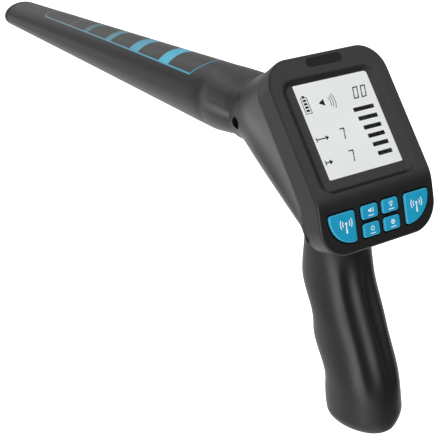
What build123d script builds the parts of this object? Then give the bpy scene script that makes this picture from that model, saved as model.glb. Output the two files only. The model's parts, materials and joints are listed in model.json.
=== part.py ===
from build123d import *
import os
from math import cos, radians, sin, tan

# Pipe locator, millimetres. Origin at the centre of the hand grip.
# +X is the user's right, +Y points forward along the wand, +Z is up.

# Where the main pieces stand
wand_height = 115.0
display_forward = 7.0
display_lift = 13.2
display_height = wand_height + display_lift
face_slope = 53.0

# Overrun of a cut past the face it opens, and a reach past the whole object
over = 1.0
far = 600.0

# Display recess and window
window_width = 56.0
window_height = 59.0
window_corner = 1.0
window_clearance = 0.15
window_flange = 3.5
window_flange_thickness = 1.0
recess_border = 6.5
recess_corner = 8.0
recess_step = 0.5
gasket_border = 3.0
gasket_thickness = 0.8
lcd_thickness = 2.8
backlight_thickness = 2.6

# Badge inlay above the display
badge_length = 27.0
badge_width = 5.8
badge_gap = 2.1
badge_recess = 0.8
badge_thickness = 0.6
badge_clearance = 0.1
badge_lift = window_height / 2 + recess_border + badge_gap + badge_width / 2

# Face cover: a shell that bends back at the keypad
head_cheek = 9.9
head_brow = 2.4
head_chin = 5.7
head_corner = 18.0
head_depth = 14.6
face_rise = 1.6
face_skin = 2.6
side_wall = 2.2
bend_radius = 24.0
keypad_tilt = 23.5
keypad_length = 33.4
face_edge_round = 1.5
head_width = window_width + 2 * (recess_border + head_cheek)
head_top = badge_lift + badge_width / 2 + head_brow
bend_drop = window_height / 2 + recess_border + head_chin

# Buttons, measured down the keypad from the bend
small_button_width = 12.0
small_button_height = 8.0
small_button_corner = 1.5
small_button_gap = 3.8
small_button_row_gap = 2.7
small_button_drop = 7.7
small_button_spread = (small_button_width + small_button_gap) / 2
first_row = small_button_drop + small_button_height / 2
small_button_rows = (first_row, first_row + small_button_height + small_button_row_gap)
large_button_width = 18.6
large_button_height = 18.4
large_button_corner = 1.5
large_button_sweep = 16.5
large_button_gap = 5.5
large_button_drop = 8.0
large_button_inner = small_button_gap / 2 + small_button_width + large_button_gap
button_rise = 1.3
button_edge_round = 0.7
button_clearance = 0.35
button_travel = 0.8
button_flange = 1.0
button_flange_thickness = 1.0
button_flange_gap = 0.1
stem_radius = 2.0
stem_length = 0.9
press_clearance = 0.12

# Rubber key mat and the board under it
mat_thickness = 1.2
mat_margin = 1.0
mat_corner = 12.0
mat_boss_clearance = 0.3
dome_radius = 3.0
dome_height = 1.1
key_board_thickness = 1.4
key_board_gap = 1.7
key_board_start = 2.6
key_board_end_gap = 0.2
key_board_corner_gap = 1.3
key_board_width = head_width - 2 * (side_wall + key_board_gap)
key_board_end = keypad_length - side_wall - key_board_end_gap
key_board_corner = head_corner - side_wall - key_board_corner_gap
key_screw_radius = 0.9
key_screw_head_radius = 1.6
key_screw_head = 1.1
key_screw_length = 5.0
key_boss_radius = 1.5
key_boss_edge = 1.8
key_boss_high_spread = 28.0
key_boss_low_spread = large_button_inner - large_button_gap / 2

# Main board behind the display
screw_clearance = 0.05
board_gap = 2.2
board_top_gap = 1.1
board_low_gap = 5.7
board_corner_gap = 2.8
board_thickness = 1.6
board_width = head_width - 2 * (side_wall + board_gap)
board_high = head_top - side_wall - board_top_gap
board_low = board_low_gap - bend_drop
board_corner = head_corner - side_wall - board_corner_gap
board_boss_radius = 2.4
board_boss_gap = 2.3
board_boss_lift = 24.0
board_boss_spread = window_width / 2 + window_flange + board_boss_gap + board_boss_radius
board_screw_radius = 1.2
board_screw_head_radius = 2.2
board_screw_head = 1.6
board_screw_length = 6.0
buzzer_radius = 12.0
buzzer_height = 7.0
buzzer_mouth_radius = 2.4
buzzer_mouth_depth = 3.5
buzzer_place = (20.0, 18.0)
chip_sizes = ((22.0, 18.0, 3.0), (12.0, 12.0, 1.4), (9.0, 6.0, 1.8), (10.0, 5.0, 4.0))
chip_places = ((-18.0, 20.0), (-14.0, -8.0), (12.0, -10.0), (-28.0, -28.0))

# Ribbon between the boards
ribbon_width = 16.0
ribbon_thickness = 0.3
ribbon_reach = 6.0

# Neck and funnel behind the face cover
wall = 2.4
rim_forward = 91.0
rim_radius = 25.0
rim_break_angle = 35.0
funnel_root_depth = 13.6
funnel_top_step = 0.3
funnel_chin = 7.9
funnel_cheek = 0.4
funnel_low_cheek = 4.1
funnel_corner_step = 0.5
funnel_low_corner = 25.0
waist_setback = 25.1
waist_sink = 1.0
waist_lean = 19.5
waist_rise = 8.2
waist_cheek = 5.15
waist_low_cheek = 6.25
waist_corner = 18.0
waist_low_corner = 24.5

# Battery in the grip
cell_radius = 9.2
cell_length = 65.0
cell_gap = 0.6
cell_clearance = 0.15
cell_spread = cell_radius + cell_gap / 2
holder_side = 0.75
holder_skin = 0.85
holder_end = 3.0
holder_open = 3.0
holder_width = 2 * (cell_spread + cell_radius + cell_clearance + holder_side)
holder_depth = 2 * (cell_radius + cell_clearance + holder_skin)
battery_centre = (-2.2, -6.0)
rib_thickness = 2.0
rib_gap = 0.2
rib_hole_radius = 6.0
battery_lead_radius = 0.9
battery_lead_spread = 1.6
battery_lead_rise = 10.0
battery_lead_landing = 10.0
battery_lead_drop = 14.0
battery_lead_bends = (12.0, 7.0)

# Grip: corners of its side outline as forward and height, front then back
grip_room = 1.1
grip_width = holder_width + 2 * (grip_room + wall)
grip_front_head = (28.0, 86.0)
grip_front = ((28.1, 31.0), (19.2, 7.0), (16.0, -6.0), (4.6, -29.0), (1.2, -48.0))
grip_front_foot = (-1.6, -59.8)
grip_back_foot = (-31.4, -70.0)
grip_back = ((-33.4, -50.0), (-30.4, -31.0), (-2.4, 39.0))
grip_back_head = (-1.0, 86.0)
grip_front_bend = 30.0
grip_back_bend = 55.0
grip_corner = 13.5
grip_foot_round = 8.5
grip_lean = 21.0
flute_spread = 10.5
flute_radius = 9.0
flute_depth = 2.2
flute_length = 86.0
flute_clear = 0.6
flute_middle = (-17.3, 1.2)

# Screws that join the two housing halves, each as forward and height
screw_places = ((58.0, 138.0), (52.0, 96.0), (22.0, 58.0), (-15.5, -54.0))
screw_radius = 1.5
screw_head_radius = 2.8
screw_head = 2.2
screw_seat = 7.0
screw_length = 17.0
screw_boss_wall = 2.1
screw_well_gap = 0.3
screw_well_wall = 1.6
screw_boss_radius = screw_radius + screw_boss_wall
screw_well_radius = screw_head_radius + screw_well_gap

# Wand
rim_lip = 2.3
wand_clearance = 0.2
wand_root_radius = rim_radius - rim_lip - wand_clearance
wand_straight = 16.0
wand_length = 356.0
wand_tip = rim_forward + wand_length
wand_tip_width = 35.0
wand_tip_height = 20.6
wand_wall = 2.2
wand_insert = 2.5
wand_shoulder_wall = 3.0
spigot_radius = 10.0
spigot_wall = 2.6
spigot_length = 29.0
spigot_flange_width = 4.0
spigot_flange = 4.0
spigot_flange_back = 4.0
bulkhead_thickness = 3.0
bulkhead_clearance = 0.2
neck_step = 2.0
neck_step_width = 2.3
neck_step_radius = wand_root_radius - neck_step_width
seal_thickness = 1.0
seal_gap = 0.3
flat_depth = 1.0
flat_reach = 40.0
cap_length = 6.0
cap_plug = 9.0
cap_plug_clearance = 0.15
cap_edge_round = 3.2

# Antenna in the wand, set back from the front end of its rod
rod_radius = 5.0
rod_gap = 2.0
rod_length = 205.0
rod_front = wand_tip - cap_length - cap_plug - rod_gap
bobbin_clearance = 0.05
bobbin_wall = 0.9
bobbin_flange_radius = 7.6
bobbin_flange = 1.2
bobbin_length = 36.0
bobbin_setbacks = (10.0, 130.0)
winding_sink = 0.6
spacer_setbacks = (55.0, 118.0, 190.0)
spacer_thickness = 7.0
spacer_clearance = 0.25
lead_radius = 0.9
lead_gap = 0.3
lead_spigot_gap = 1.5
lead_climb_front = 60.0
lead_climb_back = 20.0
lead_bends = (40.0, 40.0, 12.0)
lead_drop = bobbin_flange_radius + lead_gap + lead_radius
lead_spigot_drop = spigot_radius - spigot_wall - lead_spigot_gap - lead_radius

# Charging socket on the left of the neck
socket_setback = 8.6
socket_drop = 0.5
socket_sink = 3.0
socket_hole_radius = 4.0
socket_seat = 2.0
socket_wall = 1.0
socket_length = 11.0
socket_bore_radius = 2.8
socket_bore_length = 3.0
socket_chamber_radius = 3.6
socket_back_wall = 1.5
socket_clearance = 0.1
socket_boss_wall = 1.9
pin_radius = 1.05
pin_gap = 0.3
socket_forward = rim_forward - socket_setback
socket_mouth = rim_radius - socket_sink
socket_radius = socket_chamber_radius + socket_wall
pin_length = socket_length - socket_back_wall - socket_bore_length - pin_gap

# Frames of the face and of the keypad
right = Vector(1, 0, 0)
face_up = Vector(0, cos(radians(face_slope)), sin(radians(face_slope)))
face_out = Vector(0, -sin(radians(face_slope)), cos(radians(face_slope)))
key_cos = cos(radians(keypad_tilt))
key_sin = sin(radians(keypad_tilt))
key_up = face_up * key_cos + face_out * key_sin
key_out = face_out * key_cos - face_up * key_sin
display_centre = Vector(0, display_forward, display_height)
bend_point = display_centre - face_up * bend_drop + face_out * face_rise
face = Plane(origin=display_centre, x_dir=right, z_dir=face_out)
side = Plane(origin=display_centre, x_dir=face_up, z_dir=right)
keypad = Plane(origin=bend_point, x_dir=right, z_dir=key_out)

# Levels below the face, along the face's outward direction
skin_back = face_rise - face_skin
flange_back = skin_back - window_flange_thickness
gasket_back = flange_back - gasket_thickness
lcd_back = gasket_back - lcd_thickness
backlight_back = lcd_back - backlight_thickness
board_back = backlight_back - board_thickness

# Levels below the keypad, along the keypad's outward direction
button_flange_top = -face_skin - button_flange_gap
button_flange_back = button_flange_top - button_flange_thickness
stem_back = button_flange_back - stem_length
dome_top = stem_back - button_travel - press_clearance
mat_top = dome_top - dome_height
mat_back = mat_top - mat_thickness
key_board_back = mat_back - key_board_thickness


def slab(plane, sketch, low, high):
    # Prism on a plane, between two levels along the plane's normal
    return extrude(plane.offset(low) * sketch, amount=high - low)


def bar_y(radius, back, front, drop=0.0):
    # Round bar along the wand, at a drop below its axis
    plane = Plane(origin=(0, back, wand_height - drop), x_dir=right, z_dir=(0, 1, 0))
    return extrude(plane * Circle(radius), amount=front - back)


def bar_x(radius, low, high, forward, height):
    # Round bar across the object
    plane = Plane(origin=(low, forward, height), x_dir=(0, 1, 0), z_dir=right)
    return extrude(plane * Circle(radius), amount=high - low)


def bent_points(inset, depth):
    # Top, bend and bottom of the bent face, in the side plane, at a depth below the face
    top = (head_top - inset, face_rise - depth)
    bend = (-bend_drop + depth * tan(radians(keypad_tilt / 2)), face_rise - depth)
    run = keypad_length - inset
    bottom = (
        -bend_drop - run * key_cos + depth * key_sin,
        face_rise - run * key_sin - depth * key_cos,
    )
    return top, bend, bottom


def bent_block(inset, skin, depth):
    # Bent slab between two depths below the face, with its four corners rounded
    front = bent_points(inset, skin)
    back = bent_points(inset, depth)
    outline = make_face(Polyline(*front, *reversed(back), close=True))
    for point, below in ((front[1], skin), (back[1], depth)):
        corner = outline.vertices().sort_by_distance((point[0], point[1], 0))[0]
        outline = fillet(corner, bend_radius - below)
    block = extrude(side * outline, amount=head_width / 2 - inset, both=True)
    corners = block.edges().filter_by(Axis(display_centre, face_out))
    corners += block.edges().filter_by(Axis(display_centre, key_out))
    return fillet(corners, head_corner - inset)


def front_rim(block):
    # Edges round the front of a bent block
    fronts = block.faces().filter_by(lambda f: f.normal_at().dot(face_out) > 0.85)
    shared = [edge for front in fronts for edge in front.edges()]
    middles = [edge.position_at(0.5) for edge in shared]
    rim = ShapeList()
    for edge, middle in zip(shared, middles):
        copies = sum(1 for other in middles if (other - middle).length < 1e-4)
        if copies == 1:
            rim.append(edge)
    return rim


def small_button_outline(grow):
    return RectangleRounded(
        small_button_width + 2 * grow,
        small_button_height + 2 * grow,
        small_button_corner + max(grow, 0),
    )


def large_button_outline(grow, hand):
    # Square with one large rounded corner, low on the outer side; hand is -1 left, 1 right
    sketch = Rectangle(large_button_width + 2 * grow, large_button_height + 2 * grow)
    swept = sketch.vertices().sort_by(lambda v: v.Y - hand * v.X)[0]
    sketch = fillet(swept, large_button_sweep + grow)
    sharp = sketch.vertices().filter_by(lambda v: v.Y > 0 or v.X * hand < 0)
    sharp = sharp.filter_by(
        lambda v: abs(abs(v.X) - large_button_width / 2 - grow) < 1e-4
        and abs(abs(v.Y) - large_button_height / 2 - grow) < 1e-4
    )
    return fillet(sharp, large_button_corner + max(grow, 0))


def button_table():
    # Name, outline maker and centre of each button on the keypad
    table = []
    names = (("sound_button", "lamp_button"), ("power_button", "settings_button"))
    for row_names, drop in zip(names, small_button_rows):
        for name, hand in zip(row_names, (-1, 1)):
            table.append((name, small_button_outline, (hand * small_button_spread, -drop)))
    large_centre = large_button_inner + large_button_width / 2
    large_drop = large_button_drop + large_button_height / 2
    for name, hand in (("left_search_button", -1), ("right_search_button", 1)):
        maker = lambda grow, hand=hand: large_button_outline(grow, hand)
        table.append((name, maker, (hand * large_centre, -large_drop)))
    return table


buttons = button_table()


def key_boss_spots():
    # Two bosses beside the bend and two between the lower buttons
    high = key_board_start + key_boss_edge
    low = key_board_end - key_boss_edge
    spots = [Pos(hand * key_boss_high_spread, -high) for hand in (-1, 1)]
    return spots + [Pos(hand * key_boss_low_spread, -low) for hand in (-1, 1)]


def board_screw_spots():
    rows = (-board_boss_lift, board_boss_lift)
    return [Pos(hand * board_boss_spread, row) for row in rows for hand in (-1, 1)]


def make_face_cover():
    cover = bent_block(0, 0, head_depth)
    cover = fillet(front_rim(cover), face_edge_round)
    cover -= bent_block(side_wall, face_skin, head_depth + wall)
    recess_width = window_width + 2 * recess_border
    recess_height = window_height + 2 * recess_border
    mouth = RectangleRounded(recess_width, recess_height, recess_corner)
    floor_corner = window_corner + window_clearance
    floor = RectangleRounded(
        window_width + 2 * window_clearance,
        window_height + 2 * window_clearance,
        floor_corner,
    )
    step_level = face_rise - recess_step
    cover -= slab(face, mouth, step_level, face_rise + over)
    cover -= loft([face.offset(step_level) * mouth, face * floor])
    cover -= slab(face, floor, skin_back - over, step_level)
    badge = Pos(0, badge_lift) * SlotOverall(badge_length, badge_width)
    cover -= slab(face, badge, face_rise - badge_recess, face_rise + over)
    for name, outline, centre in buttons:
        hole = Pos(*centre) * outline(button_clearance)
        cover -= slab(keypad, hole, -face_skin - over, over)
    for spot in board_screw_spots():
        cover += slab(face, spot * Circle(board_boss_radius), backlight_back, skin_back)
        bore = spot * Circle(board_screw_radius + screw_clearance)
        cover -= slab(face, bore, backlight_back, backlight_back + board_screw_length)
    for spot in key_boss_spots():
        cover += slab(keypad, spot * Circle(key_boss_radius), mat_back, -face_skin)
        bore = spot * Circle(key_screw_radius + screw_clearance)
        cover -= slab(keypad, bore, mat_back, mat_back + key_screw_length)
    return cover


def make_badge_plate():
    plate = SlotOverall(badge_length - 2 * badge_clearance, badge_width - 2 * badge_clearance)
    low = face_rise - badge_recess
    return slab(face, Pos(0, badge_lift) * plate, low, low + badge_thickness)


def make_display_window():
    pane = slab(face, RectangleRounded(window_width, window_height, window_corner), skin_back, 0)
    flange = RectangleRounded(
        window_width + 2 * window_flange,
        window_height + 2 * window_flange,
        window_corner + window_flange / 2,
    )
    return pane + slab(face, flange, flange_back, skin_back)


def display_layer(low, high):
    # Plate of the display stack, as wide as the window's flange
    width = window_width + 2 * window_flange
    height = window_height + 2 * window_flange
    return slab(face, Rectangle(width, height), low, high)


def make_display_gasket():
    ring = display_layer(gasket_back, flange_back)
    opening = Rectangle(
        window_width + 2 * (window_flange - gasket_border),
        window_height + 2 * (window_flange - gasket_border),
    )
    return ring - slab(face, opening, gasket_back - over, flange_back + over)


def make_main_board():
    middle = (board_low + board_high) / 2
    outline = Pos(0, middle) * Rectangle(board_width, board_high - board_low)
    tops = outline.vertices().filter_by(lambda v: v.Y > middle)
    outline = fillet(tops, board_corner)
    board = slab(face, outline, board_back, backlight_back)
    for spot in board_screw_spots():
        hole = spot * Circle(board_screw_radius + screw_clearance)
        board -= slab(face, hole, board_back - over, backlight_back + over)
    return board


def make_board_screws():
    screws = []
    for spot in board_screw_spots():
        head_back = board_back - board_screw_head
        head = slab(face, spot * Circle(board_screw_head_radius), head_back, board_back)
        tip = backlight_back + board_screw_length - over
        screws.append(head + slab(face, spot * Circle(board_screw_radius), board_back, tip))
    return Compound(children=screws)


def make_board_parts():
    parts = []
    for (width, height, tall), spot in zip(chip_sizes, chip_places):
        parts.append(slab(face, Pos(*spot) * Rectangle(width, height), board_back - tall, board_back))
    return Compound(children=parts)


def make_buzzer():
    body = slab(face, Pos(*buzzer_place) * Circle(buzzer_radius), board_back - buzzer_height, board_back)
    mouth = Pos(*buzzer_place) * Circle(buzzer_mouth_radius)
    low = board_back - buzzer_height
    return body - slab(face, mouth, low - over, low + buzzer_mouth_depth)


def make_button(outline, centre):
    spot = Pos(*centre)
    cap = slab(keypad, spot * outline(0), button_flange_top, button_rise)
    crown = cap.faces().sort_by(lambda f: f.center().dot(key_out))[-1]
    cap = fillet(crown.edges(), button_edge_round)
    cap += slab(keypad, spot * outline(button_flange), button_flange_back, button_flange_top)
    return cap + slab(keypad, spot * Circle(stem_radius), stem_back, button_flange_back)


def key_sheet(width, start, end, corner, low, high):
    # Sheet under the keypad with its two lower corners rounded to follow the cover
    middle = -(start + end) / 2
    outline = Pos(0, middle) * Rectangle(width, end - start)
    lows = outline.vertices().filter_by(lambda v: v.Y < middle)
    return slab(keypad, fillet(lows, corner), low, high)


def make_key_mat():
    width = 2 * (large_button_inner + large_button_width + mat_margin)
    start = large_button_drop - mat_margin
    end = large_button_drop + large_button_height + mat_margin
    mat = key_sheet(width, start, end, mat_corner, mat_back, mat_top)
    for name, outline, centre in buttons:
        dome = Pos(*centre) * Circle(dome_radius)
        mat += slab(keypad, dome, mat_top, dome_top)
    for spot in key_boss_spots():
        room = spot * Circle(key_boss_radius + mat_boss_clearance)
        mat -= slab(keypad, room, mat_back - over, dome_top + over)
    return mat


def make_key_board():
    board = key_sheet(
        key_board_width, key_board_start, key_board_end, key_board_corner, key_board_back, mat_back
    )
    for spot in key_boss_spots():
        hole = spot * Circle(key_screw_radius + screw_clearance)
        board -= slab(keypad, hole, key_board_back - over, mat_back + over)
    return board


def make_key_screws():
    screws = []
    for spot in key_boss_spots():
        head_back = key_board_back - key_screw_head
        head = slab(keypad, spot * Circle(key_screw_head_radius), head_back, key_board_back)
        tip = mat_back + key_screw_length - over
        screws.append(head + slab(keypad, spot * Circle(key_screw_radius), key_board_back, tip))
    return Compound(children=screws)


def make_ribbon():
    # Flat strip from the back of the main board to the back of the key board
    start = display_centre + face_up * (board_low + ribbon_reach) + face_out * board_back
    corner = display_centre + face_up * board_low + face_out * board_back
    landing = bend_point - key_up * key_board_start + key_out * key_board_back
    end = landing - key_up * ribbon_reach
    line = [start, corner, landing, end]
    outs = [face_out, face_out, key_out, key_out]
    lower = [point - out * ribbon_thickness for point, out in zip(line, outs)]
    outline = make_face(Polyline(*line, *reversed(lower), close=True))
    return extrude(outline, amount=ribbon_width / 2, dir=right, both=True)


def rim_sketch(radius):
    # Circle of eight arcs, so that each side and corner of the root meets its own arc
    turn = rim_break_angle
    breaks = [turn, 90 - turn, 90 + turn, 180 - turn, 180 + turn, 270 - turn, 270 + turn, 360 - turn]
    arcs = []
    for first, second in zip(breaks, breaks[1:] + [breaks[0] + 360]):
        points = [
            (radius * cos(radians(a)), radius * sin(radians(a)))
            for a in (first, (first + second) / 2, second)
        ]
        arcs.append(ThreePointArc(*points))
    return make_face(arcs)


def funnel_outline(top, bottom, width, low_width, corner, low_corner, inset):
    # Four-sided outline that widens towards its bottom, with round corners
    half = width / 2 - inset
    low_half = low_width / 2 - inset
    high = top - inset
    low = bottom + inset
    outline = make_face(
        Polyline((half, high), (-half, high), (-low_half, low), (low_half, low), close=True)
    )
    outline = fillet(outline.vertices().sort_by(Axis.Y)[2:], corner - inset / 2)
    return fillet(outline.vertices().sort_by(Axis.Y)[:2], low_corner - inset / 2)


def root_sketch(inset):
    # Outline of the funnel where it meets the face cover
    return funnel_outline(
        head_top - funnel_top_step,
        -bend_drop - keypad_length - funnel_chin,
        head_width + 2 * funnel_cheek,
        head_width + 2 * funnel_low_cheek,
        head_corner - funnel_corner_step,
        funnel_low_corner,
        inset,
    )


def waist_sketch(inset):
    # Outline of the funnel near the neck, a little drawn in so that the sides flare
    half = rim_radius + waist_rise
    width = 2 * (rim_radius + waist_cheek)
    low_width = 2 * (rim_radius + waist_low_cheek)
    return funnel_outline(half, -half, width, low_width, waist_corner, waist_low_corner, inset)


rim_plane = Plane(origin=(0, rim_forward, wand_height), x_dir=right, z_dir=(0, -1, 0))
root_plane = face.offset(-funnel_root_depth + face_rise)
waist_plane = Plane(
    origin=(0, rim_forward - waist_setback, wand_height - waist_sink),
    x_dir=right,
    z_dir=(0, -cos(radians(waist_lean)), sin(radians(waist_lean))),
)


def funnel(inset):
    sections = [root_plane * root_sketch(inset), waist_plane * waist_sketch(inset)]
    body = loft(sections + [rim_plane * rim_sketch(rim_radius - inset)])
    return body & Box(head_width - 2 * inset, far, far)


def front_of_seam():
    # All that lies in front of the face cover's back edge
    top, bend, bottom = bent_points(0, head_depth)
    reach = head_width
    far_top = (top[0] + reach, top[1])
    far_bottom = (bottom[0] - reach * key_cos, bottom[1] - reach * key_sin)
    front_bottom = (far_bottom[0] - reach * key_sin, far_bottom[1] + reach * key_cos)
    front_top = (far_top[0], far_top[1] + 2 * reach)
    outline = make_face(Polyline(far_top, bend, far_bottom, front_bottom, front_top, close=True))
    corner = outline.vertices().sort_by_distance((bend[0], bend[1], 0))[0]
    outline = fillet(corner, bend_radius - head_depth)
    return extrude(side * outline, amount=head_width, both=True)


def grip_outline():
    # Side view of the grip: finger waves at the front, one long lean at the back
    front = FilletPolyline(grip_front_head, *grip_front, grip_front_foot, radius=grip_front_bend)
    back = FilletPolyline(grip_back_foot, *grip_back, grip_back_head, radius=grip_back_bend)
    return make_face([front, Line(front @ 1, back @ 0), back, Line(back @ 1, front @ 0)])


def grip(inset):
    outline = offset(grip_outline(), -inset) if inset else grip_outline()
    body = extrude(Plane.YZ * outline, amount=grip_width / 2 - inset, both=True)
    foot = body.faces().sort_by(Axis.Z)[0]
    head = body.faces().sort_by(Axis.Z)[-1]
    sides = body.faces().filter_by(Axis.X)
    ends = [edge.position_at(0.5) for end in (foot, head) for edge in end.edges()]
    long_edges = sides.edges().filter_by(
        lambda e: all((e.position_at(0.5) - middle).length > 1e-3 for middle in ends)
    )
    body = fillet(long_edges, grip_corner - inset)
    foot = body.faces().sort_by(Axis.Z)[0]
    return fillet(foot.edges(), grip_foot_round - inset)


def flute(hand, grow):
    # Spindle that scoops one long shallow flute into the back of the grip
    lean = radians(grip_lean)
    along = Vector(0, sin(lean), cos(lean))
    outward = Vector(0, -cos(lean), sin(lean))
    middle = Vector(hand * flute_spread, *flute_middle) + outward * (flute_radius - flute_depth)
    plane = Plane(origin=middle, x_dir=along, z_dir=right)
    half = flute_length / 2
    tip_radius = flute_radius - flute_depth - flute_clear + grow
    bow = ThreePointArc((-half, tip_radius), (0, flute_radius + grow), (half, tip_radius))
    sides = Polyline((half, tip_radius), (half, 0), (-half, 0), (-half, tip_radius))
    return revolve(plane * make_face([bow, sides]), axis=Axis(middle, along))


battery_middle = Vector(0, *battery_centre)
battery_along = Vector(0, sin(radians(grip_lean)), cos(radians(grip_lean)))
battery = Plane(origin=battery_middle, x_dir=right, z_dir=battery_along)
holder_half = cell_length / 2 + cell_clearance + holder_end


def make_housing():
    outer = funnel(0) + (grip(0) - flute(-1, 0) - flute(1, 0))
    inner = funnel(wall) + (grip(wall) - flute(-1, wall) - flute(1, wall))
    shell = outer - inner
    step_front = rim_forward - wand_insert - seal_thickness
    shell += bar_y(2 * rim_radius, step_front - neck_step, step_front) & outer
    shell -= bar_y(neck_step_radius, step_front - neck_step - over, step_front + over)
    shell -= bar_y(wand_root_radius + wand_clearance, step_front, rim_forward + over)
    bulk_back = rim_forward - wand_insert - spigot_length + spigot_flange_back + spigot_flange
    bulk_front = bulk_back + bulkhead_thickness
    shell += bar_y(2 * rim_radius, bulk_back, bulk_front) & outer
    shell -= bar_y(spigot_radius + bulkhead_clearance, bulk_back - over, bulk_front + over)
    for end in (-1, 1):
        near = end * (holder_half + rib_gap)
        deep = near + end * rib_thickness
        low = min(near, deep)
        high = max(near, deep)
        rib = slab(battery, Rectangle(far, far), low, high) & grip(0)
        shell += rib - slab(battery, Circle(rib_hole_radius), low - over, high + over)
    shell -= front_of_seam()
    return shell, outer


def screw_boss(place, outer, hand):
    if hand < 0:
        post = bar_x(screw_boss_radius, -head_width, 0, *place)
    else:
        post = bar_x(screw_well_radius + screw_well_wall, 0, head_width, *place)
    return post & outer


def make_halves():
    shell, outer = make_housing()
    outer_behind = outer - front_of_seam()
    halves = []
    for hand in (-1, 1):
        box = Pos(hand * head_width, 0, 0) * Box(2 * head_width, far, far)
        half = shell & box
        for place in screw_places:
            half += screw_boss(place, outer_behind, hand) & box
            bore_end = screw_length - screw_seat + over
            if hand < 0:
                half -= bar_x(screw_radius + screw_clearance, -bore_end, 0, *place)
            else:
                half -= bar_x(screw_radius + screw_clearance, 0, screw_seat, *place)
                half -= bar_x(screw_well_radius, screw_seat, head_width, *place)
        halves.append(half)
    left, right_half = halves
    spot = (socket_forward, wand_height - socket_drop)
    boss_radius = socket_radius + socket_clearance + socket_boss_wall
    boss = bar_x(boss_radius, -head_width / 2, -socket_mouth + socket_seat, *spot) & outer_behind
    left += boss - bar_y(rim_radius, rim_forward - wand_insert - seal_thickness, rim_forward)
    left -= bar_x(socket_hole_radius, -head_width / 2, -socket_mouth, *spot)
    left -= bar_x(socket_radius + socket_clearance, -socket_mouth, 0, *spot)
    return left, right_half


def make_housing_screws():
    screws = []
    for place in screw_places:
        head = bar_x(screw_head_radius, screw_seat, screw_seat + screw_head, *place)
        screws.append(head + bar_x(screw_radius, screw_seat - screw_length, screw_seat, *place))
    return Compound(children=screws)


def wand_section(forward, inset):
    plane = Plane(origin=(0, forward, wand_height), x_dir=right, z_dir=(0, 1, 0))
    share = (forward - taper_start) / (wand_tip - taper_start)
    width = wand_root_radius + (wand_tip_width / 2 - wand_root_radius) * share
    height = wand_root_radius + (wand_tip_height / 2 - wand_root_radius) * share
    return plane * Ellipse(width - inset, height - inset)


def wand_taper(back, front, inset):
    return loft([wand_section(back, inset), wand_section(front, inset)], ruled=True)


bobbin_fronts = [rod_front - setback for setback in bobbin_setbacks]
taper_start = rim_forward + wand_straight
shoulder = rim_forward - wand_insert
tube_front = wand_tip - cap_length


def make_wand_tube():
    tube = wand_taper(taper_start, tube_front, 0)
    tube += bar_y(wand_root_radius, shoulder, taper_start)
    tube -= wand_taper(taper_start, tube_front, wand_wall)
    tube -= bar_y(wand_root_radius - wand_wall, shoulder + wand_shoulder_wall, taper_start)
    spigot_back = shoulder - spigot_length
    tube += bar_y(spigot_radius, spigot_back, shoulder)
    flange_at = spigot_back + spigot_flange_back
    flange_front = flange_at + spigot_flange - bulkhead_clearance
    tube += bar_y(spigot_radius + spigot_flange_width, flange_at, flange_front)
    bore_front = shoulder + wand_shoulder_wall + over
    tube -= bar_y(spigot_radius - spigot_wall, spigot_back - over, bore_front)
    flat_x = 2 * wand_root_radius - flat_depth
    for hand in (-1, 1):
        block = Box(2 * wand_root_radius, flat_reach, far)
        tube -= Pos(hand * flat_x, rim_forward + flat_reach / 2, wand_height) * block
    return tube


def make_wand_end_cap():
    cap = wand_taper(tube_front, wand_tip, 0)
    tip = cap.faces().sort_by(Axis.Y)[-1]
    cap = fillet(tip.edges(), cap_edge_round)
    return cap + wand_taper(tube_front - cap_plug, tube_front, wand_wall + cap_plug_clearance)


def make_wand_seal():
    back = shoulder - seal_thickness
    ring = bar_y(wand_root_radius - seal_gap, back, shoulder)
    return ring - bar_y(neck_step_radius, back - over, shoulder + over)


def make_ferrite_rod():
    return bar_y(rod_radius, rod_front - rod_length, rod_front)


def make_bobbin(front):
    back = front - bobbin_length
    bobbin = bar_y(rod_radius + bobbin_wall, back, front)
    bobbin += bar_y(bobbin_flange_radius, back, back + bobbin_flange)
    bobbin += bar_y(bobbin_flange_radius, front - bobbin_flange, front)
    return bobbin - bar_y(rod_radius + bobbin_clearance, back - over, front + over)


def make_winding(front):
    back = front - bobbin_length + bobbin_flange
    sleeve = bar_y(bobbin_flange_radius - winding_sink, back, front - bobbin_flange)
    return sleeve - bar_y(rod_radius + bobbin_wall, back - over, front)


def make_spacers():
    spacers = []
    for setback in spacer_setbacks:
        front = rod_front - setback
        back = front - spacer_thickness
        disc = wand_taper(back, front, wand_wall + spacer_clearance)
        disc -= bar_y(rod_radius + bobbin_clearance, back - over, front + over)
        disc -= bar_y(lead_radius + lead_gap, back - over, front + over, lead_drop)
        spacers.append(disc)
    return Compound(children=spacers)


def tube_along(points, radii, radius):
    path = FilletPolyline(*points, radius=radii)
    start = Plane(origin=path @ 0, z_dir=path % 0)
    return sweep(start * Circle(radius), path=path)


def make_antenna_lead():
    # From the front winding back along the wand and up to the back of the main board
    low = wand_height - lead_drop
    middle = wand_height - lead_spigot_drop
    landing = display_centre + face_out * board_back
    corner = landing - face_out * ((landing.Z - middle) / face_out.Z)
    points = [
        Vector(0, bobbin_fronts[0] - bobbin_length, low),
        Vector(0, rim_forward + lead_climb_front, low),
        Vector(0, rim_forward + lead_climb_back, middle),
        corner,
        landing,
    ]
    return tube_along(points, lead_bends, lead_radius)


def make_battery_cells():
    cells = []
    for hand in (-1, 1):
        spot = Pos(hand * cell_spread, 0) * Circle(cell_radius)
        cells.append(slab(battery, spot, -cell_length / 2, cell_length / 2))
    return Compound(children=cells)


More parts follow.
